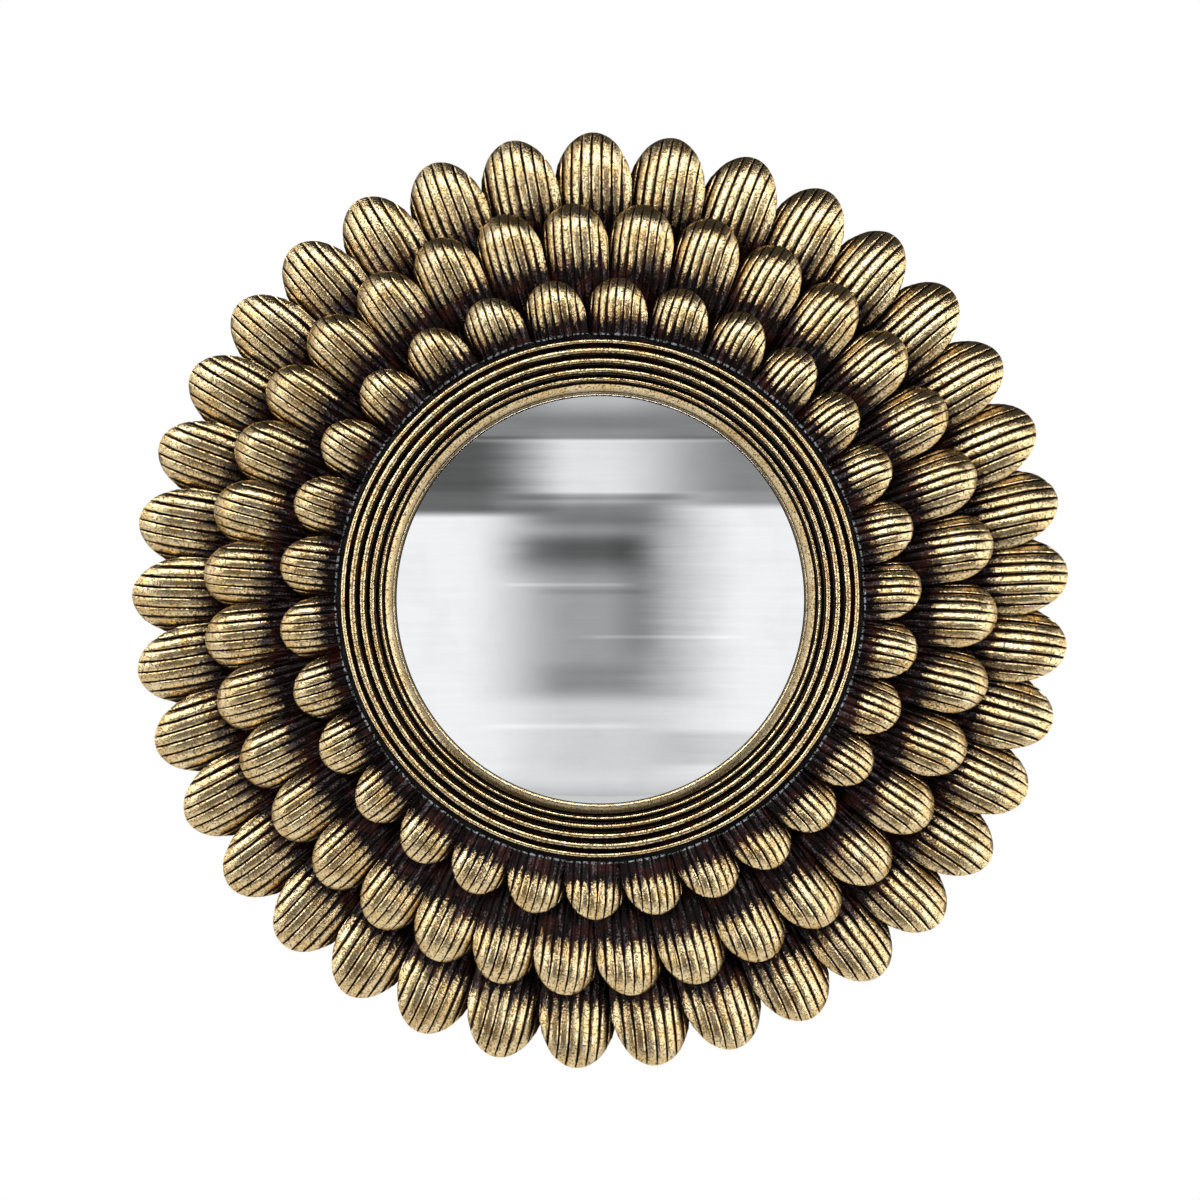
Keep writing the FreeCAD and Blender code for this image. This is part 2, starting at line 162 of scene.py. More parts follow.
# %% [markdown]
# ## Node helpers for the finishes
#
# A procedural finish is a small graph: noise and stored values go through ramps into the Principled
# shader. These helpers keep each finish short. Every pattern reads Object coordinates or values that
# are stored on the mesh, so it stays with the piece from every side.

# %% Finish helpers
class Finish:
    """A material's node graph, written from the inputs towards the shader."""

    def __init__(self, name, roughness=0.5, metallic=0.0):
        self.material = bpy.data.materials.new(name)
        self.material.use_nodes = True
        self.nodes = self.material.node_tree.nodes
        self.links = self.material.node_tree.links
        self.shader = self.nodes["Principled BSDF"]
        self.shader.inputs["Roughness"].default_value = roughness
        self.shader.inputs["Metallic"].default_value = metallic
        self.place = self.nodes.new("ShaderNodeTexCoord").outputs["Object"]

    def feed(self, socket, value):
        """Link an output, or set a plain value."""
        if isinstance(value, bpy.types.NodeSocket):
            self.links.new(value, socket)
        else:
            socket.default_value = value

    def stored(self, name):
        """A value stored on the mesh."""
        node = self.nodes.new("ShaderNodeAttribute")
        node.attribute_name = name
        return node.outputs["Fac"]

    def noise(self, scale, detail=2.0, roughness=0.5, vector=None, stretch=None):
        """Noise from 0 to 1, by object place or by a vector, stretched by an optional scale."""
        vector = vector or self.place
        if stretch:
            mapping = self.nodes.new("ShaderNodeMapping")
            mapping.inputs["Scale"].default_value = stretch
            self.feed(mapping.inputs["Vector"], vector)
            vector = mapping.outputs["Vector"]
        node = self.nodes.new("ShaderNodeTexNoise")
        node.inputs["Scale"].default_value = scale
        node.inputs["Detail"].default_value = detail
        node.inputs["Roughness"].default_value = roughness
        self.feed(node.inputs["Vector"], vector)
        return node.outputs["Fac"]

    def vector(self, x, y, z=0.0):
        """A vector from three values."""
        node = self.nodes.new("ShaderNodeCombineXYZ")
        for socket, value in zip(node.inputs, (x, y, z)):
            self.feed(socket, value)
        return node.outputs["Vector"]

    def math(self, operation, a, b=0.0, c=0.0):
        """One step of arithmetic."""
        node = self.nodes.new("ShaderNodeMath")
        node.operation = operation
        for socket, value in zip(node.inputs, (a, b, c)):
            self.feed(socket, value)
        return node.outputs["Value"]

    def vector_math(self, operation, a, b=(0, 0, 0), scale=1.0):
        """One step of arithmetic on vectors."""
        node = self.nodes.new("ShaderNodeVectorMath")
        node.operation = operation
        self.feed(node.inputs[0], a)
        self.feed(node.inputs[1], b)
        node.inputs[3].default_value = scale
        return node.outputs["Vector"]

    def vector_length(self, a):
        """How long a vector is."""
        node = self.nodes.new("ShaderNodeVectorMath")
        node.operation = "LENGTH"
        self.feed(node.inputs[0], a)
        return node.outputs["Value"]

    def step(self, value, low, high, start=0.0, end=1.0):
        """A soft step from start to end while value goes from low to high."""
        node = self.nodes.new("ShaderNodeMapRange")
        node.interpolation_type = "SMOOTHSTEP"
        self.feed(node.inputs["Value"], value)
        for socket, number in zip(list(node.inputs)[1:5], (low, high, start, end)):
            socket.default_value = number
        return node.outputs["Result"]

    def mix(self, share, a, b):
        """A colour between two colours."""
        node = self.nodes.new("ShaderNodeMix")
        node.data_type = "RGBA"
        self.feed(node.inputs[0], share)
        self.feed(node.inputs[6], a)
        self.feed(node.inputs[7], b)
        return node.outputs[2]

    def bump(self, height, distance, strength=1.0):
        """Raise the surface by a height pattern, at most by a distance in metres."""
        node = self.nodes.new("ShaderNodeBump")
        node.inputs["Strength"].default_value = strength
        node.inputs["Distance"].default_value = distance
        self.feed(node.inputs["Height"], height)
        self.links.new(node.outputs["Normal"], self.shader.inputs["Normal"])

    def wear(self, piece_or_pieces):
        """Give the finish to one piece or several."""
        pieces = piece_or_pieces if isinstance(piece_or_pieces, list) else [piece_or_pieces]
        for piece in pieces:
            piece.data.materials.clear()
            piece.data.materials.append(self.material)


def colour(red, green, blue):
    """A screen colour from 0 to 255 as the linear colour that nodes use."""
    def linear(value):
        value /= 255
        return value / 12.92 if value <= 0.04045 else ((value + 0.055) / 1.055) ** 2.4
    return (linear(red), linear(green), linear(blue), 1.0)


# %% [markdown]
# ## The studio
#
# Metal and glass look like what stands round them. The gilding wants a dim room with a long soft lamp
# above and an upright one at each side, so that each ridge gets a bright streak and a dark side. The
# glass wants the opposite: pale fields with a grey top, a bright band and a vague darker middle. So each
# gets its own room, and light linking keeps them apart: a card that only the glass sees, and lamps that
# the glass doesn't see. The camera sees a white world, and the floor is plain and pale.

# %% World and floor
ROOM_HALF = 3.0
CEILING_HEIGHT = 2.6
FLOOR_HEIGHT = -1.5
DIFFUSE_LEVEL = 0.7


def white_world():
    """White to the camera and in metal and glass; a plain soft light for everything else."""
    world = bpy.data.worlds.new("studio")
    bpy.context.scene.world = world
    world.use_nodes = True
    nodes, links = world.node_tree.nodes, world.node_tree.links
    rays = nodes.new("ShaderNodeLightPath")
    seen = rays.outputs["Is Camera Ray"]
    for name in ("Is Glossy Ray", "Is Transmission Ray"):
        either = nodes.new("ShaderNodeMath")
        either.operation = "MAXIMUM"
        links.new(seen, either.inputs[0])
        links.new(rays.outputs[name], either.inputs[1])
        seen = either.outputs["Value"]
    strength = nodes.new("ShaderNodeMapRange")
    links.new(seen, strength.inputs["Value"])
    strength.inputs["To Min"].default_value = DIFFUSE_LEVEL
    strength.inputs["To Max"].default_value = 1.0
    background = nodes["Background"]
    background.inputs["Color"].default_value = (1, 1, 1, 1)
    links.new(strength.outputs["Result"], background.inputs["Strength"])


white_world()
bpy.context.scene.view_settings.view_transform = "Standard"

clear_selection()
bpy.ops.mesh.primitive_plane_add(size=2 * ROOM_HALF, location=(0, 0, FLOOR_HEIGHT))
floor = bpy.context.object
floor.name = "floor"
pale_floor = Finish("pale_floor", roughness=0.8)
pale_floor.shader.inputs["Base Color"].default_value = (0.8, 0.8, 0.79, 1)
pale_floor.wear(floor)


# %% Cards round the mirror
def card(name, place, turn, size, paint):
    """A card that only reflections see."""
    clear_selection()
    bpy.ops.mesh.primitive_plane_add(size=1, location=place, rotation=turn)
    board = bpy.context.object
    board.name = name
    board.scale = (size[0], size[1], 1)
    bpy.ops.object.transform_apply(location=False, rotation=False, scale=True)
    finish = Finish(name)
    glow = finish.nodes.new("ShaderNodeEmission")
    finish.links.new(glow.outputs["Emission"], finish.nodes["Material Output"].inputs["Surface"])
    finish.nodes.remove(finish.shader)
    finish.feed(glow.inputs["Strength"], paint(finish) if callable(paint) else paint)
    finish.wear(board)
    for ray in ("camera", "diffuse", "transmission", "shadow", "volume_scatter"):
        setattr(board, "visible_" + ray, False)
    return board


quarter = math.radians(90)
room = 2 * ROOM_HALF
wall_height = CEILING_HEIGHT - FLOOR_HEIGHT
wall_middle = (CEILING_HEIGHT + FLOOR_HEIGHT) / 2
STRIP_SOFTNESS = 0.25


def upright_strip(near, far, dim, bright):
    """Paint for a side card: dim, with a soft bright strip between two distances from the wall."""
    def paint(finish):
        split = finish.nodes.new("ShaderNodeSeparateXYZ")
        finish.feed(split.inputs["Vector"], finish.place)
        in_front = finish.math("MULTIPLY", split.outputs["X"], -1.0)
        rise = finish.step(in_front, near - STRIP_SOFTNESS, near + STRIP_SOFTNESS)
        fall = finish.step(in_front, far - STRIP_SOFTNESS, far + STRIP_SOFTNESS, 1.0, 0.0)
        return finish.math("MULTIPLY_ADD", finish.math("MULTIPLY", rise, fall), bright - dim, dim)
    return paint


side_turn = (quarter, 0, quarter)
side_size = (room, wall_height)
left_strip = upright_strip(near=0.6, far=1.9, dim=0.30, bright=1.3)
right_strip = upright_strip(near=0.4, far=2.0, dim=0.35, bright=1.9)
CEILING_LEVEL = 0.05
REAR_LEVEL = 0.40
card("left_card", (-ROOM_HALF, 0, wall_middle), side_turn, side_size, left_strip)
card("right_card", (ROOM_HALF, 0, wall_middle), side_turn, side_size, right_strip)
card("ceiling_card", (0, 0, CEILING_HEIGHT), (0, 0, 0), (room, room), CEILING_LEVEL)
card("rear_card", (0, ROOM_HALF, wall_middle), (quarter, 0, 0), side_size, REAR_LEVEL)

# %% [markdown]
# ## What the glass shows
#
# A convex glass gathers a wide view. A point of the card shows where the glass's normal lies halfway
# between the point and the camera, so the card works out that halfway direction, and its soft shapes
# are then placed in the glass's own measure: -1 to 1 across and up, 0 in the middle. They are laid out
# for the camera above. From elsewhere the same card is seen in other places of the glass.

# %% The glass's card
CARD_DISTANCE = 2.4
GLASS_SPHERE = 276.0 * MM   # radius of the glass's ball
GLASS_SIGHT = 75.2 * MM     # radius of the glass that shows
GLASS_MEASURE = 1 / (1 / GLASS_SPHERE + 1 / (2 * CAMERA_DISTANCE)) / GLASS_SIGHT
CARD_LEVEL = 0.95
SCREEN_GAMMA = 2.2          # the levels below are screen tones, and light adds up in linear ones
GLASS_REFLECTANCE = 0.88
DARKEST_TONE = 0.05
STREAK_SCALE = (1.3, 34.0)  # across and up the glass, so that the streaks lie level
STREAK_TONE = 0.06
STREAK_SWAY = 0.07          # how far the streaks push the sides of the shapes
SOFT_SHAPES = (
    # left, right, softness, bottom, top, softness, change of tone
    (-2.0, 2.0, 0.10, 0.79, 2.0, 0.010, -0.44),         # grey at the top
    (-0.35, 0.32, 0.25, 0.93, 2.0, 0.06, 0.22),         # a pale patch at the very top
    (-0.34, 0.28, 0.12, 0.79, 0.84, 0.02, 0.06),
    (-2.0, 2.0, 0.10, 0.53, 0.79, 0.012, -0.06),        # a bright band
    (-2.0, -0.38, 0.26, 0.42, 0.79, 0.025, -0.54),      # which is dark to the left
    (0.38, 2.0, 0.36, 0.46, 0.79, 0.025, -0.36),        # and grey to the right
    (-0.40, 0.40, 0.16, 0.49, 0.522, 0.012, -0.30),     # a dark bar under the band
    (-0.38, 0.34, 0.14, 0.36, 0.49, 0.03, -0.14),       # and its soft shadow
    (-0.34, 0.34, 0.14, 0.44, 0.49, 0.02, -0.10),
    (-0.42, 0.42, 0.30, -0.50, 0.46, 0.05, -0.20),      # a vague darker middle
    (-0.38, 0.45, 0.30, -0.88, 0.46, 0.06, -0.13),
    (0.10, 0.29, 0.10, -0.30, 0.36, 0.10, -0.09),       # darker along its right side
    (-0.47, 0.20, 0.16, 0.125, 0.320, 0.055, -0.14),    # a darker patch in it
    (-0.38, 0.20, 0.11, 0.185, 0.300, 0.040, -0.12),
    (-0.46, 0.14, 0.08, 0.060, 0.074, 0.008, 0.10),     # thin bright streaks
    (-0.30, 0.26, 0.10, 0.020, 0.045, 0.010, -0.06),
    (-0.04, 0.67, 0.12, -0.200, -0.186, 0.008, 0.10),
    (-0.30, 0.20, 0.12, -0.46, -0.33, 0.04, -0.07),
    (-0.52, 0.18, 0.12, -0.645, -0.625, 0.012, 0.07),
    (0.30, 0.85, 0.16, -0.82, -0.66, 0.02, -0.10),
    (-2.0, 2.0, 0.10, -3.0, -0.93, 0.10, -0.26),        # grey at the bottom
)


def soft_reflection(finish):
    """The brightness of the glass's card."""
    split = finish.nodes.new("ShaderNodeSeparateXYZ")
    finish.feed(split.inputs["Vector"], finish.place)
    height = finish.math("ADD", split.outputs["Y"], wall_middle)
    towards = finish.vector(split.outputs["X"], -CARD_DISTANCE, height)
    ray = finish.vector_math("NORMALIZE", towards)
    halfway = finish.vector_math("NORMALIZE", finish.vector_math("ADD", ray, tuple(towards_camera)))
    in_glass = finish.vector_math("SCALE", halfway, scale=GLASS_MEASURE)
    place = finish.nodes.new("ShaderNodeSeparateXYZ")
    finish.feed(place.inputs["Vector"], in_glass)
    across, up = place.outputs["X"], place.outputs["Z"]

    def band(value, low, high, soft):
        rise = finish.step(value, low - soft, low + soft)
        fall = finish.step(value, high - soft, high + soft, 1.0, 0.0)
        return finish.math("MULTIPLY", rise, fall)

    streak_place = finish.vector(
        finish.math("MULTIPLY", across, STREAK_SCALE[0]), finish.math("MULTIPLY", up, STREAK_SCALE[1]))
    streaks = finish.noise(1.0, detail=3, roughness=0.6, vector=streak_place)
    sway = finish.math("MULTIPLY_ADD", streaks, STREAK_SWAY, -STREAK_SWAY / 2)
    swayed = finish.math("ADD", across, sway)
    level = finish.math("MULTIPLY_ADD", streaks, STREAK_TONE, CARD_LEVEL - STREAK_TONE / 2)
    for left, right, side_soft, bottom, top, end_soft, change in SOFT_SHAPES:
        sides = band(swayed, left, right, side_soft)
        ends = band(up, bottom, top, end_soft)
        shape = finish.math("MULTIPLY", sides, ends)
        level = finish.math("MULTIPLY_ADD", shape, change, level)
    tone = finish.math("POWER", finish.math("MAXIMUM", level, DARKEST_TONE), SCREEN_GAMMA)
    return finish.math("DIVIDE", tone, GLASS_REFLECTANCE)


front_place = (0, -CARD_DISTANCE, wall_middle)
glass_card = card("glass_card", front_place, (quarter, 0, 0), side_size, soft_reflection)

# %% [markdown]
# ## Lamps for the gilding
#
# One long lamp in front and above draws the highlights, an upright one on each side lights the flanks,
# and a wide weak one keeps the fronts of the ridges from going black. One behind shapes the back. A
# lamp's watts follow from its size and from how bright its face should look, where 1 is paper white.

# %% Lamps
def lamp(name, place, size, brightness):
    """A soft rectangular lamp that faces the mirror."""
    clear_selection()
    bpy.ops.object.light_add(type="AREA", location=place)
    light = bpy.context.object
    light.name = name
    light.data.shape = "RECTANGLE"
    light.data.size, light.data.size_y = size
    light.data.energy = brightness * math.pi * size[0] * size[1]
    light.rotation_euler = Vector(place).to_track_quat("Z", "Y").to_euler()
    light.visible_camera = False
    return light


lamps = [
    lamp("key_lamp", (-0.30, -2.0, 0.88), (2.6, 0.42), 6.2),
    lamp("left_lamp", (-1.45, -1.8, 0.05), (0.45, 1.7), 3.6),
    lamp("right_lamp", (1.45, -1.8, 0.0), (0.45, 1.7), 4.4),
    lamp("fill_lamp", (0, -2.3, 0.1), (4.2, 2.2), 0.16),
    lamp("rear_lamp", (0.9, 2.0, 1.3), (1.6, 0.8), 5.0),
]
print(len(lamps), "lamps")

# %% [markdown]
# ## Antique gilding
#
# The real frame is coated with a near-black, slightly reddish lacquer. Gold is then rubbed over it:
# it catches on ridges and tips, misses the grooves, and runs out in ragged tongues towards the roots.
# Each gilt mesh stores three values for this: `groove` (1 at the bottom of a groove), one for how
# far the place is from where the gold was rubbed on, which also paints the shade that the next row up
# casts on the roots, and `strand` (which ridge it is), so that the ragged ends can follow the ridges.
# Fine speckles break through everywhere. Where ridge tops lie in the lacquer they get a painted lilac
# sheen, a reflection drawn into the colour. `root_end` marks the inner petals, whose ridge ends at the
# reeded ring get a row of small pale painted glints.

# %% Antique gilt
GOLD = colour(252, 228, 180)
DULL_GOLD = colour(232, 198, 138)
UMBER = colour(68, 41, 19)
LACQUER = colour(10, 3, 2)
RED_LACQUER = colour(36, 12, 7)
# painted sheen: the lamps' reflection on ridge tops in the lacquer, drawn in as a pale lilac colour
LILAC_RIDGE_SHEEN = colour(142, 128, 132)
PALE_ROOT_GLINT = colour(140, 146, 150)
ROOT_GLINT_REACH = 95.4 * MM       # the ridges' ends get painted pale glints within this distance of the axis
ROOT_GLINT_SOFT = 0.2 * MM


def antique_gilt():
    """Gold rubbed over near-black lacquer, missed in the grooves and worn off in specks, with painted
    shade at the roots, a painted sheen and painted glints.
    """
    finish = Finish("antique_gilt", roughness=0.34, metallic=1.0)
    finish.shader.inputs["Specular IOR Level"].default_value = 0.1
    groove = finish.stored("groove")
    tarnish = finish.stored("tarnish")
    strand = finish.stored("strand")
    along = finish.stored("along")
    speckle = finish.noise(1300, detail=3, roughness=0.65)
    grain = finish.noise(4200, detail=2, roughness=0.6)
    blotch = finish.noise(130, detail=4, roughness=0.6)
    mottle = finish.noise(2300, detail=2, roughness=0.5)
    tongues = finish.noise(1.0, detail=3, roughness=0.6, vector=finish.vector(
        finish.math("MULTIPLY", strand, 1.9), finish.math("MULTIPLY", along, 80.0)))

    # Towards the roots the gold gives way to lacquer; this is also painted shade from the row above.
    missed = finish.math("MULTIPLY_ADD", groove, 1.25, finish.step(tarnish, 0.55, 1.45, 0.0, 0.9))
    missed = finish.math("ADD", missed, finish.math("MULTIPLY_ADD", tongues, 1.2, -0.6))
    missed = finish.math("ADD", missed, finish.math("MULTIPLY_ADD", speckle, 0.8, -0.4))
    bare = finish.step(missed, 0.46, 0.56)
    toned = finish.step(missed, 0.16, 0.50)

    gold = finish.mix(finish.step(blotch, 0.35, 0.7), GOLD, DULL_GOLD)
    gold = finish.mix(finish.step(mottle, 0.48, 0.62, 0.0, 0.34), gold, UMBER)
    pits = finish.step(finish.math("MULTIPLY_ADD", tarnish, 0.04, speckle), 0.55, 0.61)
    gold = finish.mix(finish.math("MULTIPLY", pits, 0.72), gold, UMBER)
    gold = finish.mix(finish.math("MULTIPLY", toned, 0.75), gold, UMBER)
    lacquer = finish.mix(finish.step(blotch, 0.50, 0.62), LACQUER, RED_LACQUER)
    # Painted sheen: pale lilac ridge tops in the lacquer, a reflection of the lamps drawn into the
    # colour.
    ridge = finish.step(groove, 0.02, 0.20, 1.0, 0.0)
    ridge = finish.math("MULTIPLY", ridge, finish.step(tongues, 0.50, 0.62))
    ridge = finish.math("MULTIPLY", ridge, finish.step(speckle, 0.42, 0.60))
    ridge = finish.math("MULTIPLY", ridge, finish.step(tarnish, 1.5, 1.9, 0.30, 0.0))
    lacquer = finish.mix(ridge, lacquer, LILAC_RIDGE_SHEEN)
    # Painted glints: pale dots where the inner petals' ridges end at the ring.
    from_axis = finish.vector_length(finish.vector_math("MULTIPLY", finish.place, (1, 0, 1)))
    at_ring = finish.step(from_axis, ROOT_GLINT_REACH - ROOT_GLINT_SOFT, ROOT_GLINT_REACH + ROOT_GLINT_SOFT, 1.0, 0.0)
    root_glint = finish.math("MULTIPLY", at_ring, finish.step(groove, 0.14, 0.34, 1.0, 0.0))
    root_glint = finish.math("MULTIPLY", root_glint, finish.stored("root_end"))
    root_glint = finish.math("MULTIPLY", root_glint, finish.step(speckle, 0.44, 0.58))
    finish.feed(finish.shader.inputs["Base Color"], finish.mix(
        root_glint, finish.mix(bare, gold, lacquer), PALE_ROOT_GLINT))
    finish.feed(finish.shader.inputs["Metallic"], finish.step(
        finish.math("MAXIMUM", bare, root_glint), 0.0, 1.0, 1.0, 0.30))
    rough = finish.math("MULTIPLY_ADD", grain, 0.17, 0.10)
    rough = finish.math("MULTIPLY_ADD", pits, 0.15, rough)
    finish.feed(finish.shader.inputs["Roughness"], rough)
    height = finish.math("MULTIPLY_ADD", speckle, 0.7, finish.math("MULTIPLY", grain, 0.3))
    finish.bump(height, 0.25 * MM, strength=0.6)
    return finish


gilt = antique_gilt()

# %% [markdown]
# ## One fluted petal
#
# A real petal is carved once and cast many times. Its crown is a flattened dome at the tip and part of
# a cone behind it, with eight flutes that run straight along it and roll over the tip together.
#
# By hand that is: spin one point into the arc of the cross-section, spin the section a quarter turn
# over the tip and cut it level. The tip is then stretched to its oval outline and the flutes are
# pressed in. Its back edge is extruded towards the root while it is scaled about the cone's apex. The
# petal is tilted and rolled, so that its clockwise edge stands over the next petal, and walls are
# extruded down and cut off at the seat and at the root.

# %% The shape that all petals share
FLUTES = 8
POINTS_PER_FLUTE = 8
GROOVE_PROFILE = (1.0, 0.24, 0.03, 0.0, 0.0, 0.0, 0.03, 0.24)   # share of the depth across a flute
TIP_ROWS = 18
SHANK_ROWS = 12
PETAL_ROLL = math.radians(12.0)
TAPER_RUN = 300 * MM        # from the tip's centre back to the apex of the cone
SPARE_LENGTH = 10 * MM      # made behind the root, and cut off again
WALL_DROP = 30 * MM         # how far the walls are drawn down, before they are cut at the seat
FADED_GROOVE = 0.45         # how much of a groove's dark value is left where its depth fades out
WALL_FOOT_LACQUER_AND_SHADE = 2.0          # no gold reaches the foot of the walls: lacquer, and painted shade under the petal's edge
HAIR = 0.01 * MM
PETAL_CORNER_ANGLE = 60     # degrees


class Row:
    """The sizes of one row of petals, in metres."""

    def __init__(self, name, count, tip, root, seat, half_width, tip_length, crown, flatness,
                 tip_flatness, lift, tilt, depth, fade, gilded):
        self.name = name
        self.count = count
        self.tip = tip * MM
        self.root = root * MM
        self.seat = seat * MM
        self.half_width = half_width * MM
        self.tip_length = tip_length * MM
        self.crown = crown * MM
        self.flatness = flatness
        self.tip_flatness = tip_flatness
        self.lift = lift * MM
        self.tilt = math.radians(tilt)
        self.groove_depth = depth * MM
        self.groove_fade = fade
        self.gilded_length = gilded * MM
        self.ball = (self.half_width ** 2 + self.crown ** 2) / (2 * self.crown)
        self.sink = self.ball - self.crown
        self.centre = self.tip - self.tip_length * math.cos(self.tilt)
        self.reach = self.centre - self.root + SPARE_LENGTH

    def rise(self, across):
        """The height of the section's arc at a distance from the middle, with its crown flattened."""
        ball_height = math.sqrt(max(self.ball ** 2 - across ** 2, 0.0)) - self.sink
        slope = max(1 - ball_height / self.crown, 0.0)
        return self.crown * (1 - slope ** self.flatness)

    def stretch(self, across):
        """How much longer than a spun tip the real tip's rim is, at a distance from the middle."""
        share = min(abs(across) / self.half_width, 0.995)
        edge = share * self.half_width
        spun = math.sqrt((self.rise(edge) + self.sink) ** 2 - self.sink ** 2)
        return self.tip_length * math.sqrt(1 - share ** 2) / spun


INNER = Row(
    "inner", 30, tip=115.5, root=94.6, seat=25.0, half_width=11.3, tip_length=13.6, crown=3.9,
    flatness=1.3, tip_flatness=1.6, lift=3.05, tilt=10.0, depth=0.45, fade=0.35, gilded=15.0)
MIDDLE = Row(
    "middle", 35, tip=143.4, root=103.0, seat=16.0, half_width=12.4, tip_length=14.6, crown=4.6,
    flatness=1.35, tip_flatness=1.7, lift=4.6, tilt=6.0, depth=0.52, fade=0.85, gilded=22.0)
OUTER = Row(
    "outer", 37, tip=169.9, root=132.0, seat=6.5, half_width=14.4, tip_length=20.5, crown=3.8,
    flatness=1.25, tip_flatness=1.7, lift=5.6, tilt=6.0, depth=0.55, fade=0.25, gilded=27.0)


def store(piece, name, values):
    """Store one number per point on a mesh."""
    layer = piece.data.attributes.get(name) or piece.data.attributes.new(name, "FLOAT", "POINT")
    layer.data.foreach_set("value", values)


def section(row):
    """The petal's cross-section at the tip's centre, with each point's place in the flutes stored."""
    piece = single_point(row.name + "_petal", (-row.half_width, 0, 0))
    half_span = math.asin(row.half_width / row.ball)
    steps = FLUTES * POINTS_PER_FLUTE
    bpy.ops.mesh.spin(steps=steps, angle=2 * half_span, center=(0, 0, -row.sink), axis=(0, -1, 0))
    for point in bmesh.from_edit_mesh(piece.data).verts:
        point.co.z = row.rise(point.co.x)
    bmesh.update_edit_mesh(piece.data)
    bpy.ops.object.mode_set(mode="OBJECT")

    def column(place):
        across = math.asin(max(-1.0, min(1.0, place.x / row.ball)))
        return round((across + half_span) / (2 * half_span) * steps)

    columns = [column(point.co) for point in piece.data.vertices]
    store(piece, "groove", [
        GROOVE_PROFILE[number % POINTS_PER_FLUTE] * (0 < number < steps) for number in columns])
    store(piece, "strand", [number / POINTS_PER_FLUTE for number in columns])
    return piece


def shape_tip(piece, row):
    """In edit mode, stretch the spun tip to its oval, round its end and press in the flutes."""
    mesh = bmesh.from_edit_mesh(piece.data)
    groove = mesh.verts.layers.float["groove"]
    for point in mesh.verts:
        top = max(row.rise(point.co.x), HAIR)
        share = min(max(point.co.z / top, 0.0), 1.0)
        point.co.y *= row.stretch(point.co.x)
        point.co.z = top * (1 - (1 - share) ** row.tip_flatness)
        fade = smoothstep(0.0, row.groove_fade, share)
        point.co.z -= row.groove_depth * point[groove] * fade
        point[groove] *= FADED_GROOVE + (1 - FADED_GROOVE) * fade
    bmesh.update_edit_mesh(piece.data)


def petal(row):
    """A whole petal that stands at the top of the mirror."""
    piece = section(row)
    centre = (0, 0, -row.sink)
    apex = (0, -TAPER_RUN, 0)
    edit(piece)
    bpy.ops.mesh.spin(steps=TIP_ROWS, angle=math.radians(90), center=centre, axis=(1, 0, 0))
    bpy.ops.mesh.select_all(action="SELECT")
    bpy.ops.mesh.bisect(plane_co=(0, 0, 0), plane_no=(0, 0, 1), clear_inner=True)
    shape_tip(piece, row)
    pick(piece, lambda place: abs(place.y) < HAIR)
    bpy.ops.mesh.extrude_region_move()
    shrink = 1 - row.reach / TAPER_RUN
    bpy.ops.transform.resize(value=(shrink, shrink, shrink), center_override=apex)
    mesh = bmesh.from_edit_mesh(piece.data)
    bpy.ops.mesh.select_all(action="DESELECT")
    for edge in mesh.edges:
        edge.select = abs(edge.verts[0].co.y - edge.verts[1].co.y) > 0.9 * row.reach
    bmesh.update_edit_mesh(piece.data)
    bpy.ops.mesh.select_mode(type="EDGE")
    bpy.ops.mesh.subdivide(number_cuts=SHANK_ROWS - 1)
    bpy.ops.object.mode_set(mode="OBJECT")
    from_tip = [row.tip_length - point.co.y for point in piece.data.vertices]
    store(piece, "along", from_tip)
    store(piece, "root_end", [float(row is INNER)] * len(from_tip))
    # Past the gilded length the gold runs out; this also paints the shade that the next row up casts on
    # the roots.
    store(piece, "tarnish", [length / row.gilded_length for length in from_tip])

    tilted = Matrix.Rotation(row.tilt, 4, "X") @ Matrix.Rotation(-PETAL_ROLL, 4, "Y")
    settle(piece, Matrix.Translation((0, row.centre, row.seat + row.lift)) @ tilted)

    edit(piece)
    bpy.ops.mesh.select_all(action="DESELECT")
    bpy.ops.mesh.select_mode(type="EDGE")
    bpy.ops.mesh.select_non_manifold(extend=False)
    bpy.ops.mesh.extrude_region_move(TRANSFORM_OT_translate={"value": (0, 0, -WALL_DROP)})
    bpy.ops.mesh.select_all(action="SELECT")
    bpy.ops.mesh.bisect(plane_co=(0, 0, row.seat), plane_no=(0, 0, 1), clear_inner=True, use_fill=True)
    bpy.ops.mesh.select_all(action="SELECT")
    bpy.ops.mesh.bisect(plane_co=(0, row.root, 0), plane_no=(0, 1, 0), clear_inner=True, use_fill=True)
    bpy.ops.mesh.select_all(action="SELECT")
    bpy.ops.mesh.normals_make_consistent(inside=False)
    bpy.ops.object.mode_set(mode="OBJECT")
    # Painted shade: the foot of every wall is fully dark, as lacquer and as the shade under the petal's
    # edge.
    tarnish = piece.data.attributes["tarnish"].data
    for point, value in zip(piece.data.vertices, tarnish):
        if point.co.z < row.seat + 0.1 * MM:
            value.value = WALL_FOOT_LACQUER_AND_SHADE
    settle(piece, CAD_FRAME)
    smooth_by_angle(piece, PETAL_CORNER_ANGLE)
    return piece


# %% [markdown]
# ## Three rows of petals
#
# The petals were set by hand, so their spacing sways a little. The same formula as in the CAD gives
# the clock angle of each tip. One petal is made per row and copied, each copy with its own mesh. Each
# copy is turned in its seat by a degree or two, so that no two catch the light alike. A Displace
# modifier with a cloud texture, read by world place, then makes each one slightly different, as casting
# and filing do. It is applied at once.

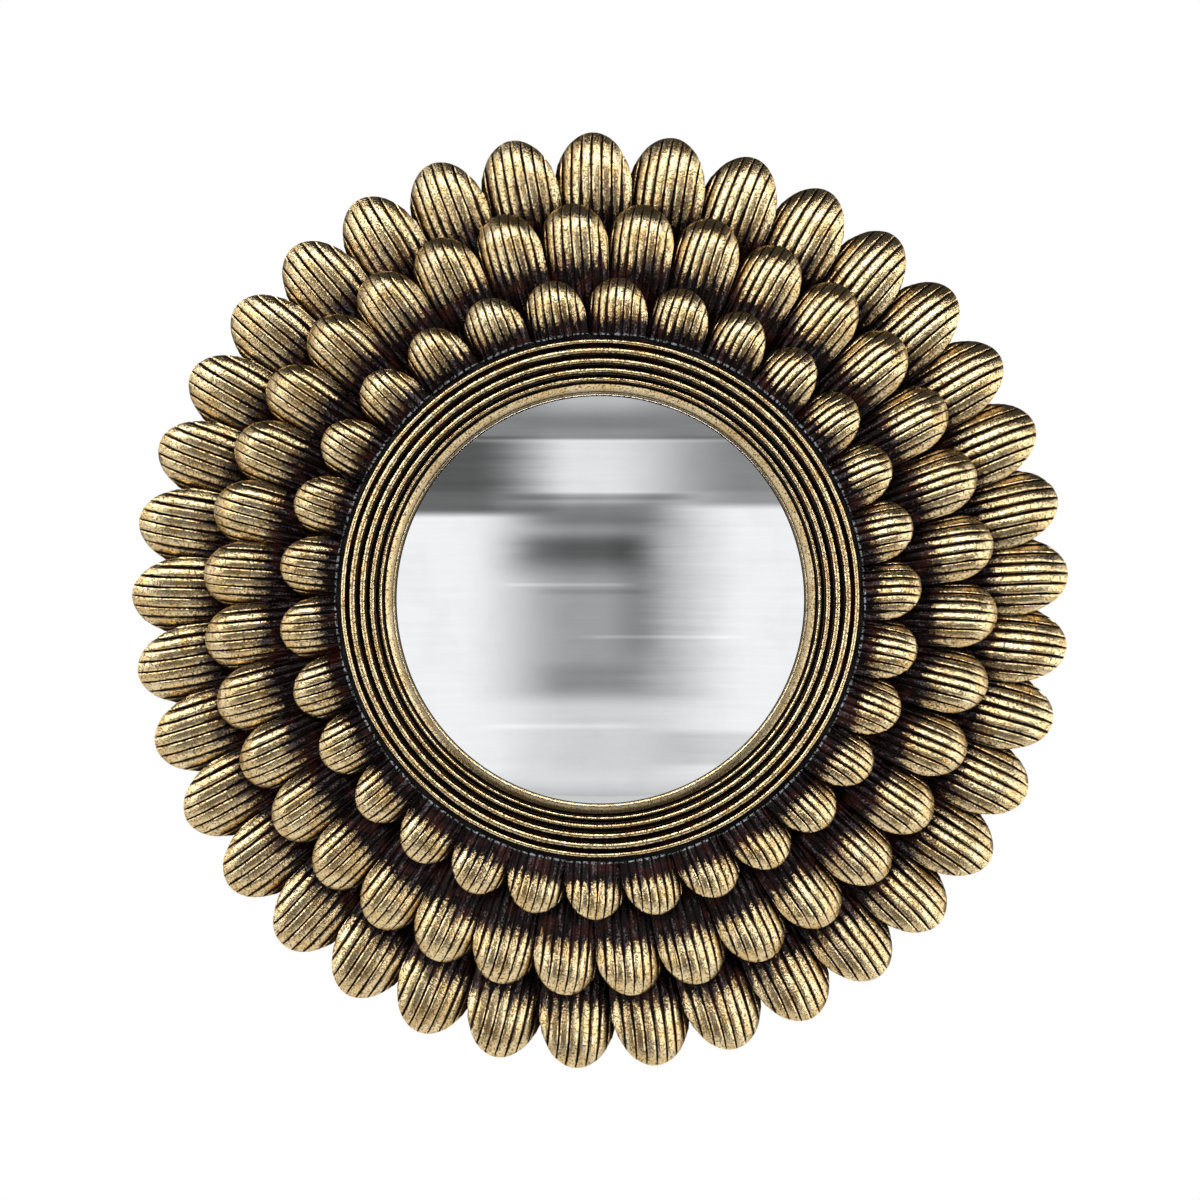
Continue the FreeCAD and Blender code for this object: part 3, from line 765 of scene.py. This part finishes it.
# %% Set the petals
def tip_angles(count, first, sway, sway_peak, bunch=0.0, bunch_peak=0.0):
    """The clock angles of a row's tips, in degrees."""
    even = [first + 360 / count * number for number in range(count)]
    return [angle + sway * math.cos(math.radians(angle - sway_peak))
            + bunch * math.cos(math.radians(2 * (angle - bunch_peak))) for angle in even]


casting_waves = bpy.data.textures.new("casting_waves", "CLOUDS")
casting_waves.noise_scale = 9 * MM
casting_waves.noise_depth = 2
WAVE_HEIGHT = 0.35 * MM
LOWER_PETAL_SHADE = 0.20        # painted shade: the lower petals' roots go darker still
STRANDS_APART = 11.0        # between two petals, so that their worn ends differ
ROLL_SLACK = math.radians(2.2)
TURN_SLACK = math.radians(1.0)
NOD_SLACK = math.radians(0.7)


def turned_in_seat(row, hand):
    """A small random turn about the middle of a petal that stands at the top."""
    middle = Vector((0, -(row.seat + row.lift), row.centre))
    turn = Matrix.Rotation(hand.uniform(-ROLL_SLACK, ROLL_SLACK), 4, "Z")
    turn @= Matrix.Rotation(hand.uniform(-TURN_SLACK, TURN_SLACK), 4, "Y")
    turn @= Matrix.Rotation(hand.uniform(-NOD_SLACK, NOD_SLACK), 4, "X")
    return Matrix.Translation(middle) @ turn @ Matrix.Translation(-middle)


def set_row(row, angles):
    """Copy a row's petal to every clock angle, roughen each copy, and hide the row's CAD node."""
    pattern = petal(row)
    strands = [value.value for value in pattern.data.attributes["strand"].data]
    tarnish = [value.value for value in pattern.data.attributes["tarnish"].data]
    pieces = []
    hand = random.Random(row.count)
    for number, angle in enumerate(angles):
        mesh = pattern.data.copy()
        mesh.transform(Matrix.Rotation(math.radians(angle), 4, "Y") @ turned_in_seat(row, hand))
        piece = bpy.data.objects.new(f"{row.name}_petal_{number + 1:02d}", mesh)
        bpy.context.collection.objects.link(piece)
        store(piece, "strand", [value + STRANDS_APART * number for value in strands])
        # Painted shade: the lower a petal hangs, the further the dark reaches up from its roots.
        hanging = max(0.0, -math.cos(math.radians(angle)))
        store(piece, "tarnish", [value * (1 + LOWER_PETAL_SHADE * hanging) for value in tarnish])
        clear_selection()
        bpy.context.view_layer.objects.active = piece
        piece.select_set(True)
        waves = piece.modifiers.new("waves", "DISPLACE")
        waves.texture = casting_waves
        waves.texture_coords = "GLOBAL"
        waves.mid_level = 0.5
        waves.strength = WAVE_HEIGHT
        bpy.ops.object.modifier_apply(modifier="waves")
        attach(piece, "mirror_frame")
        pieces.append(piece)
    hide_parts(row.name + "_petals")
    gilt.wear(pieces)
    top = max(-point.co.y for piece in pieces for point in piece.data.vertices)
    print(row.name, "row:", len(pieces), "petals of", triangles(pattern), "triangles, top at",
          round(top / MM, 2), "mm")
    bpy.data.objects.remove(pattern)


set_row(INNER, tip_angles(INNER.count, first=2.1, sway=2.4, sway_peak=60.0))
set_row(MIDDLE, tip_angles(MIDDLE.count, first=8.3, sway=2.8, sway_peak=140.0))
set_row(OUTER, tip_angles(
    OUTER.count, first=8.3, sway=0.7, sway_peak=45.0, bunch=1.0, bunch_peak=45.0))

# %% [markdown]
# ## The reeded ring and the slip
#
# Both are turned on a lathe on the real frame: one outline, swept round the mirror's axis. By hand we
# draw the outline by extruding a point from corner to corner, and then spin it a full turn.

# %% Turned pieces
TURNING_STEPS = 240
CORNER_ANGLE = 40           # degrees; sharper corners stay sharp


def turned(name, outline):
    """Spin a closed outline of (radius, height) points round the mirror's axis."""
    first = Vector((outline[0][0], 0, outline[0][1]))
    piece = single_point(name, first)
    here = first
    for radius, height in outline[1:]:
        there = Vector((radius, 0, height))
        bpy.ops.mesh.extrude_region_move(TRANSFORM_OT_translate={"value": there - here})
        here = there
    edit(piece)
    bpy.ops.mesh.spin(steps=TURNING_STEPS, angle=math.radians(360), center=(0, 0, 0), axis=(0, 0, 1))
    bpy.ops.mesh.select_all(action="SELECT")
    bpy.ops.mesh.remove_doubles(threshold=0.001 * MM)
    bpy.ops.mesh.normals_make_consistent(inside=False)
    settle(piece, CAD_FRAME)
    return piece


def arc_points(start, crest, end, steps):
    """Points of an arc from start to end through a crest halfway, without the first point."""
    (x1, y1), (x2, y2), (x3, y3) = start, crest, end
    square1, square2, square3 = x1**2 + y1**2, x2**2 + y2**2, x3**2 + y3**2
    d = 2 * (x1 * (y2 - y3) + x2 * (y3 - y1) + x3 * (y1 - y2))
    cx = (square1 * (y2 - y3) + square2 * (y3 - y1) + square3 * (y1 - y2)) / d
    cy = (square1 * (x3 - x2) + square2 * (x1 - x3) + square3 * (x2 - x1)) / d
    radius = math.hypot(x1 - cx, y1 - cy)
    angles = [math.atan2(y - cy, x - cx) for x, y in (start, crest, end)]
    points = []
    for a, b in zip(angles, angles[1:]):
        points += [a + (b - a) * step / (steps // 2) for step in range(1, steps // 2 + 1)]
    return [(cx + radius * math.cos(angle), cy + radius * math.sin(angle)) for angle in points]


# %% Reeded ring
SLIP_SEAT = 17.2
RING_SEAT = 19.2
RING_INNER = 78.3
RING_OUTER = 93.4
RING_CREST = RING_SEAT + 14.0
RING_FALL = 0.52
BEAD_WIDTHS = (2.3, 3.3, 2.9, 2.8, 2.0)
BEAD_GROOVE = 0.45
BEAD_DEPTH = 1.0
BEAD_SLACK = 0.01
# The dark reaches up the beads' sides: lacquer in the grooves, and painted shade on the sides.
DARK_FROM = 0.05            # a bead is gold above this share of its depth,
DARK_AT = 0.32              # and dark below this one
RING_TARNISH = 0.62
STRANDS_PER_METRE = 400
MEAN_RADIUS = 90 * MM       # turns an angle round the ring into a length along it


def ring_outline():
    """The five beads, stepping down towards the glass, as in the CAD."""
    outline = []
    radius = RING_OUTER
    for number, width in enumerate(BEAD_WIDTHS):
        crest = RING_CREST - RING_FALL * number ** 2
        outside = (radius, crest - BEAD_DEPTH)
        inside = (radius - width, crest - BEAD_DEPTH)
        if outline:
            floor = min(outline[-1][1], outside[1]) - BEAD_GROOVE
            outline += [(outline[-1][0], floor), (radius, floor)]
        outline.append(outside)
        outline += arc_points(outside, (radius - width / 2, crest), inside, 8)
        radius -= width + BEAD_GROOVE
    outline += [(RING_INNER, RING_SEAT), (RING_OUTER, RING_SEAT), (RING_OUTER, RING_CREST - BEAD_DEPTH)]
    return [(radius * MM, height * MM) for radius, height in outline]


reeded_ring = turned("reeded_ring_gilt", ring_outline())


def store_round_values(piece):
    """How each point of a turned piece lies across and along its beads."""
    places = [point.co for point in piece.data.vertices]
    store(piece, "strand", [math.hypot(place.x, place.z) * STRANDS_PER_METRE for place in places])
    store(piece, "along", [math.atan2(place.x, place.z) * MEAN_RADIUS for place in places])


def store_bead_values(piece):
    """Grooves are what lies well under the nearest crest; the dark also reaches up the beads' sides as
    painted shade.
    """
    grooves = []
    for point in piece.data.vertices:
        radius = math.hypot(point.co.x, point.co.z) / MM
        height = -point.co.y / MM
        edge = RING_OUTER
        depth = 1.0
        for number, width in enumerate(BEAD_WIDTHS):
            crest = RING_CREST - RING_FALL * number ** 2
            if edge - width - BEAD_SLACK <= radius <= edge + BEAD_SLACK:
                depth = min(depth, (crest - height) / (BEAD_DEPTH + BEAD_GROOVE))
            edge -= width + BEAD_GROOVE
        grooves.append(smoothstep(DARK_FROM, DARK_AT, depth))
    store(piece, "groove", grooves)
    store_round_values(piece)
    store(piece, "tarnish", [RING_TARNISH] * len(grooves))


store_bead_values(reeded_ring)
smooth_by_angle(reeded_ring, CORNER_ANGLE)
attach(reeded_ring, "mirror_frame")
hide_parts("reeded_ring")
gilt.wear(reeded_ring)

# %% Slip
SIGHT = 75.2
SLIP_OUTER = 77.9
FLANGE_OUTER = 83.7
SLIP_NOSE = SLIP_SEAT + 0.8     # worn down to the glass, so that no wall shows in its reflection
SLIP_LIP = SLIP_SEAT + 4.6
SLIP_CROWN = 0.54
SLIP_TARNISH = 0.72         # of the slip, away from its worn inner edge
SLIP_GROOVE = 0.9           # of the corner against the ring
CORNER_WIDTH = 0.2


def slip_outline():
    """The smooth lip with its hidden flange."""
    slope = math.hypot(SLIP_OUTER - SIGHT, SLIP_LIP - SLIP_NOSE)
    crown = (
        (SIGHT + SLIP_OUTER) / 2 - SLIP_CROWN * (SLIP_LIP - SLIP_NOSE) / slope,
        (SLIP_NOSE + SLIP_LIP) / 2 + SLIP_CROWN * (SLIP_OUTER - SIGHT) / slope,
    )
    outline = [(SIGHT, SLIP_SEAT), (FLANGE_OUTER, SLIP_SEAT), (FLANGE_OUTER, RING_SEAT)]
    outline += [(SLIP_OUTER, RING_SEAT), (SLIP_OUTER, SLIP_LIP)]
    outline += arc_points((SLIP_OUTER, SLIP_LIP), crown, (SIGHT, SLIP_NOSE), 8)
    outline.append((SIGHT, SLIP_SEAT))
    return [(radius * MM, height * MM) for radius, height in outline]


slip = turned("glass_slip_gilt", slip_outline())
slip_radii = [math.hypot(point.co.x, point.co.z) / MM for point in slip.data.vertices]
store(slip, "groove", [SLIP_GROOVE * (radius > SLIP_OUTER - CORNER_WIDTH) for radius in slip_radii])
store_round_values(slip)
store(slip, "tarnish", [
    SLIP_TARNISH * smoothstep(SIGHT + 0.2, SIGHT + 1.4, radius) for radius in slip_radii])
smooth_by_angle(slip, CORNER_ANGLE)
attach(slip, "mirror_frame")
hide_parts("glass_slip")
gilt.wear(slip)

# %% [markdown]
# ## The convex glass
#
# A convex mirror is a part of a sphere, silvered behind. A sphere that is slightly faceted shows at
# once in a reflection, so the outline is spun with many points and shaded smooth.

# %% Glass
GLASS_RADIUS = 80.5
GLASS_RISE = 12.0
GLASS_THICKNESS = 3.0
GASKET_INNER = 77.5
GASKET_THICKNESS = 1.0
SPHERE_RADIUS = (GLASS_RADIUS ** 2 + GLASS_RISE ** 2) / (2 * GLASS_RISE)
SPHERE_CENTRE = SLIP_SEAT - GASKET_THICKNESS - math.sqrt(SPHERE_RADIUS ** 2 - GASKET_INNER ** 2)


def on_glass(radius, depth):
    """A point of the glass's front, or of the sphere this deep behind it."""
    height = SPHERE_CENTRE + math.sqrt((SPHERE_RADIUS - depth) ** 2 - radius ** 2)
    return radius * MM, height * MM


GLASS_RINGS = 24
glass_radii = [GLASS_RADIUS * step / GLASS_RINGS for step in range(GLASS_RINGS + 1)]
front = [on_glass(radius, 0) for radius in glass_radii]
back = [on_glass(radius, GLASS_THICKNESS) for radius in reversed(glass_radii)]
glass = turned("convex_glass", front + back)
smooth_by_angle(glass, CORNER_ANGLE)


def silvered_glass():
    """Silver behind clear glass, with a trace of haze."""
    finish = Finish("silvered_glass", roughness=0.015, metallic=1.0)
    haze = finish.noise(60, detail=5, roughness=0.6)
    finish.feed(finish.shader.inputs["Base Color"], finish.mix(
        finish.step(haze, 0.4, 0.7), (0.86, 0.87, 0.88, 1), (0.82, 0.83, 0.845, 1)))
    finish.feed(finish.shader.inputs["Roughness"], finish.step(haze, 0.5, 0.8, 0.008, 0.03))
    return finish


silvered_glass().wear(glass)
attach(glass, "mirror_frame")
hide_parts("mirror_glass")
print("glass sphere radius", round(SPHERE_RADIUS, 1), "mm")

# %% [markdown]
# ## The back
#
# The back isn't for show, so its pieces are plain workshop materials: black-brown paint on the wooden
# core, wool felt, pressed cork, raw hardboard, black rubber, zinc-plated steel and stamped brass. Their
# shapes are right as they came from the frame, so each CAD node keeps its mesh and only gets a finish.

# %% Finishes of the back
def core_paint():
    """Thin black-brown paint with brush marks, rubbed through to the wood here and there."""
    finish = Finish("core_paint", roughness=0.55)
    brush = finish.noise(260, detail=4, stretch=(0.12, 1, 1))
    wear = finish.noise(70, detail=5, roughness=0.65)
    paint = finish.mix(finish.step(brush, 0.35, 0.65), colour(24, 19, 16), colour(46, 36, 28))
    finish.feed(finish.shader.inputs["Base Color"], finish.mix(
        finish.step(wear, 0.64, 0.70), paint, colour(104, 78, 52)))
    finish.feed(finish.shader.inputs["Roughness"], finish.step(wear, 0.3, 0.7, 0.42, 0.72))
    finish.bump(brush, 0.15 * MM)
    return finish


def wool_felt():
    """Black felt: short fibres in all directions, with a little dust."""
    finish = Finish("wool_felt", roughness=0.95)
    fibres = finish.noise(2200, detail=5, roughness=0.75)
    cloud = finish.noise(160, detail=4)
    dark = finish.mix(finish.step(cloud, 0.35, 0.7), colour(20, 20, 22), colour(34, 33, 34))
    finish.feed(finish.shader.inputs["Base Color"], finish.mix(
        finish.step(fibres, 0.52, 0.70), dark, colour(74, 72, 71)))
    finish.feed(finish.shader.inputs["Roughness"], finish.step(fibres, 0.3, 0.7, 0.85, 1.0))
    finish.shader.inputs["Sheen Weight"].default_value = 0.3
    finish.bump(fibres, 0.35 * MM)
    return finish


def pressed_cork():
    """Cork granules of several browns, pressed into a sheet."""
    finish = Finish("pressed_cork", roughness=0.85)
    granules = finish.noise(420, detail=2, roughness=0.45)
    fine = finish.noise(1500, detail=3)
    brown = finish.mix(finish.step(granules, 0.40, 0.52), colour(112, 74, 44), colour(176, 132, 86))
    finish.feed(finish.shader.inputs["Base Color"], finish.mix(
        finish.step(fine, 0.60, 0.68), brown, colour(70, 44, 26)))
    finish.feed(finish.shader.inputs["Roughness"], finish.step(fine, 0.3, 0.7, 0.75, 0.95))
    finish.bump(granules, 0.2 * MM)
    return finish


def raw_hardboard():
    """Hardboard: matted wood fibres, smooth and slightly blotchy."""
    finish = Finish("raw_hardboard", roughness=0.6)
    fibres = finish.noise(900, detail=5, roughness=0.7, stretch=(0.35, 1, 1))
    blotch = finish.noise(45, detail=4)
    brown = finish.mix(finish.step(blotch, 0.35, 0.68), colour(122, 86, 55), colour(146, 106, 70))
    finish.feed(finish.shader.inputs["Base Color"], finish.mix(
        finish.step(fibres, 0.56, 0.68), brown, colour(84, 56, 34)))
    finish.feed(finish.shader.inputs["Roughness"], finish.step(blotch, 0.3, 0.7, 0.5, 0.72))
    finish.bump(fibres, 0.08 * MM)
    return finish


def soft_rubber():
    """Black rubber with a trace of chalk."""
    finish = Finish("soft_rubber", roughness=0.6)
    chalk = finish.noise(380, detail=5, roughness=0.65)
    finish.feed(finish.shader.inputs["Base Color"], finish.mix(
        finish.step(chalk, 0.5, 0.72), colour(18, 18, 19), colour(52, 51, 50)))
    finish.feed(finish.shader.inputs["Roughness"], finish.step(chalk, 0.3, 0.7, 0.5, 0.75))
    finish.bump(chalk, 0.05 * MM)
    return finish


def zinc_plate():
    """Bright zinc on steel: faint clouds, fine scratches and a slightly warm passivation."""
    finish = Finish("zinc_plate", roughness=0.32, metallic=1.0)
    cloud = finish.noise(320, detail=4, roughness=0.6)
    scratch = finish.noise(900, detail=3, stretch=(0.08, 1, 1))
    finish.feed(finish.shader.inputs["Base Color"], finish.mix(
        finish.step(cloud, 0.35, 0.68), colour(190, 192, 192), colour(140, 138, 130)))
    clouded = finish.step(cloud, 0.3, 0.7, 0.24, 0.38)
    rough = finish.math("ADD", clouded, finish.step(scratch, 0.55, 0.7, 0.0, 0.14))
    finish.feed(finish.shader.inputs["Roughness"], rough)
    finish.bump(scratch, 0.03 * MM)
    return finish


def stamped_brass():
    """Stamped brass, brushed along its length and dulled in spots."""
    finish = Finish("stamped_brass", roughness=0.35, metallic=1.0)
    spots = finish.noise(260, detail=5, roughness=0.65)
    brushed = finish.noise(1100, detail=3, stretch=(0.1, 1, 1))
    finish.feed(finish.shader.inputs["Base Color"], finish.mix(
        finish.step(spots, 0.50, 0.70), colour(206, 168, 96), colour(128, 92, 46)))
    dulled = finish.step(spots, 0.4, 0.7, 0.26, 0.5)
    rough = finish.math("ADD", dulled, finish.step(brushed, 0.5, 0.7, 0.0, 0.10))
    finish.feed(finish.shader.inputs["Roughness"], rough)
    finish.bump(brushed, 0.03 * MM)
    return finish


# %% Finish the carried-over nodes
BACK_FINISHES = (
    (core_paint, ("base_ring", "middle_ring", "top_ring")),
    (wool_felt, ("back_felt",)),
    (soft_rubber, ("glass_gasket",)),
    (pressed_cork, ("packing_ring",)),
    (raw_hardboard, ("back_board",)),
    (zinc_plate, ("button_screws", "button_washers", "hanger_strap", "hanger_ring", "hanger_screw")),
    (stamped_brass, ("turn_button_1", "turn_button_2", "turn_button_3", "turn_button_4")),
)
for make_finish, nodes in BACK_FINISHES:
    make_finish().wear([bpy.data.objects[node] for node in nodes])
    print(make_finish.__name__, "on", len(nodes), "nodes")

# %% [markdown]
# ## Two rooms
#
# Light linking names what a light reaches. The card reaches only the glass, and the lamps everything
# but the glass.

# %% Keep the two rooms apart
def link_light(source, state):
    """Let a light reach only the glass, or everything but the glass."""
    receivers = bpy.data.collections.new(source.name + "_receivers")
    receivers.objects.link(glass)
    receivers.collection_objects[0].light_linking.link_state = state
    source.light_linking.receiver_collection = receivers


link_light(glass_card, "INCLUDE")
for light in lamps:
    link_light(light, "EXCLUDE")
